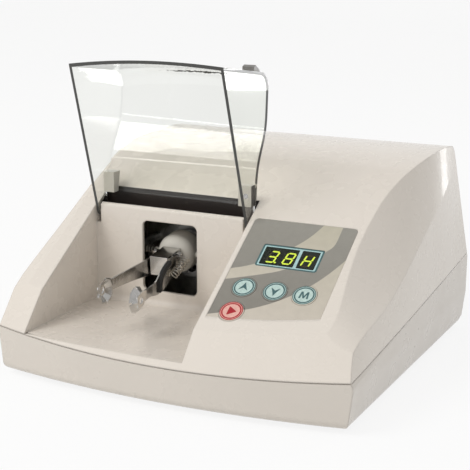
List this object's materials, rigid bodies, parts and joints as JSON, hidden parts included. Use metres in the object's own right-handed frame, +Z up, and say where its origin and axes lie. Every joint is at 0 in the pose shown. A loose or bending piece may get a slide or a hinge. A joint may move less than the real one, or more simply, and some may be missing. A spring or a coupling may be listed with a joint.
{
  "type": "dental amalgamator",
  "caption": "Bench dental amalgamator: ivory case with a clear hinged lid over the mixing chamber, a nutating head with sprung capsule arms, and a sloped key panel.",
  "frame": {"origin": "on the bench under the middle of the case, midway between its sides and between its front edge and rear face", "axes": "+Z up, +Y from the front to the back, +X to the right as seen from the front"},
  "size_m": [0.251, 0.236, 0.2004],
  "materials": {
    "case_plastic": "glossy moulded ivory plastic",
    "base_plastic": "glossy moulded ivory plastic",
    "clear_plastic": "clear, faintly smoked, polished",
    "grey_plastic": "moulded",
    "black_plastic": "moulded",
    "label_film": "printed film",
    "display_tint": "tinted window",
    "key_blue": "printed keycap",
    "key_red": "printed keycap",
    "circuit_board": "solder mask",
    "bright_steel": "bright nickel plated",
    "spring_steel": "bright drawn wire",
    "machined_steel": "machined",
    "white_nylon": "moulded nylon",
    "motor_shell": "painted",
    "zinc_sheet": "zinc plated sheet",
    "black_rubber": "moulded",
    "aluminium": "extruded",
    "magnet": "plated"
  },
  "bodies": {
    "chassis": {"top_shell": "case_plastic", "base_tray": "base_plastic", "rubber_feet": "black_rubber", "case_screws": "machined_steel", "hinge_pins": "machined_steel", "lid_sensor": "black_plastic", "panel_overlay": "label_film", "display_window": "display_tint", "display_module": "black_plastic", "control_board": "circuit_board", "board_spacers": "white_nylon", "board_screws": "machined_steel", "drive_motor": "motor_shell", "motor_bracket": "zinc_sheet", "motor_screws": "machined_steel", "rubber_isolators": "black_rubber", "spring_anchors": "machined_steel", "restraint_springs": "spring_steel", "transformer": "motor_shell", "power_board": "circuit_board", "standoffs": "white_nylon", "standoff_screws": "machined_steel", "smoothing_capacitor": "black_plastic", "relay": "black_plastic", "heat_sink": "aluminium", "mains_inlet": "black_plastic", "fuse_holder": "black_plastic", "switch_housing": "black_plastic"},
    "lid": {"lid": "clear_plastic", "lid_hinge_blocks": "grey_plastic", "lid_grip": "grey_plastic", "lid_magnet": "magnet"},
    "key_up": {"key_up": "key_blue"},
    "key_down": {"key_down": "key_blue"},
    "key_mode": {"key_mode": "key_blue"},
    "key_start": {"key_start": "key_red"},
    "shaft": {"drive_shaft": "machined_steel", "balance_wheel": "machined_steel"},
    "head": {"head_housing": "white_nylon", "journal_bearing": "machined_steel", "fork_bracket": "bright_steel", "jaw_pins": "machined_steel"},
    "left_arm": {"left_arm": "bright_steel"},
    "right_arm": {"right_arm": "bright_steel", "jaw_damper": "black_rubber", "jaw_spring": "spring_steel"},
    "switch_rocker": {"switch_rocker": "black_plastic"},
    "fuse_cap": {"fuse_cap": "black_plastic"}
  },
  "joints": [
    {"name": "lid_hinge", "type": "hinge", "parent": "chassis", "child": "lid", "pos_m": [-0.04145, -0.014, 0.094], "axis": [1, 0, 0], "range_deg": [0, 100]},
    {"name": "key_up_press", "type": "slide", "parent": "chassis", "child": "key_up", "axis": [0, 0.524, -0.8517], "range_m": [0, 0.0005], "stiffness_N_per_m": 600, "springref_m": -0.0015},
    {"name": "key_down_press", "type": "slide", "parent": "chassis", "child": "key_down", "axis": [0, 0.524, -0.8517], "range_m": [0, 0.0005], "stiffness_N_per_m": 600, "springref_m": -0.0015},
    {"name": "key_mode_press", "type": "slide", "parent": "chassis", "child": "key_mode", "axis": [0, 0.524, -0.8517], "range_m": [0, 0.0005], "stiffness_N_per_m": 600, "springref_m": -0.0015},
    {"name": "key_start_press", "type": "slide", "parent": "chassis", "child": "key_start", "axis": [0, 0.524, -0.8517], "range_m": [0, 0.0005], "stiffness_N_per_m": 600, "springref_m": -0.0015},
    {"name": "shaft_spin", "type": "hinge", "parent": "chassis", "child": "shaft", "pos_m": [-0.0425, -0.006, 0.0655], "axis": [0, 1, 0], "continuous": true},
    {"name": "head_swing", "type": "hinge", "parent": "shaft", "child": "head", "pos_m": [-0.0425, -0.006, 0.0655], "axis": [0, 0.9945, 0.1045], "continuous": true},
    {"name": "left_jaw", "type": "hinge", "parent": "head", "child": "left_arm", "pos_m": [-0.0517, -0.02092, 0.06393], "axis": [0, 0.1045, -0.9945], "range_deg": [0, 8], "stiffness_Nm_per_rad": 1.5, "springref_deg": -8.59},
    {"name": "right_jaw", "type": "hinge", "parent": "head", "child": "right_arm", "pos_m": [-0.0333, -0.02092, 0.06393], "axis": [0, -0.1045, 0.9945], "range_deg": [0, 8], "stiffness_Nm_per_rad": 1.5, "springref_deg": -8.59},
    {"name": "switch_rock", "type": "hinge", "parent": "chassis", "child": "switch_rocker", "pos_m": [0.021, 0.1115, 0.0295], "axis": [1, 0, 0], "range_deg": [-20, 0]},
    {"name": "fuse_cap_turn", "type": "hinge", "parent": "chassis", "child": "fuse_cap", "pos_m": [0.052, 0.11, 0.0295], "axis": [0, 1, 0], "range_deg": [0, 90]}
  ],
  "couplings": [
    {"joint": "head_swing", "follows": "shaft_spin", "ratio": -1}
  ]
}
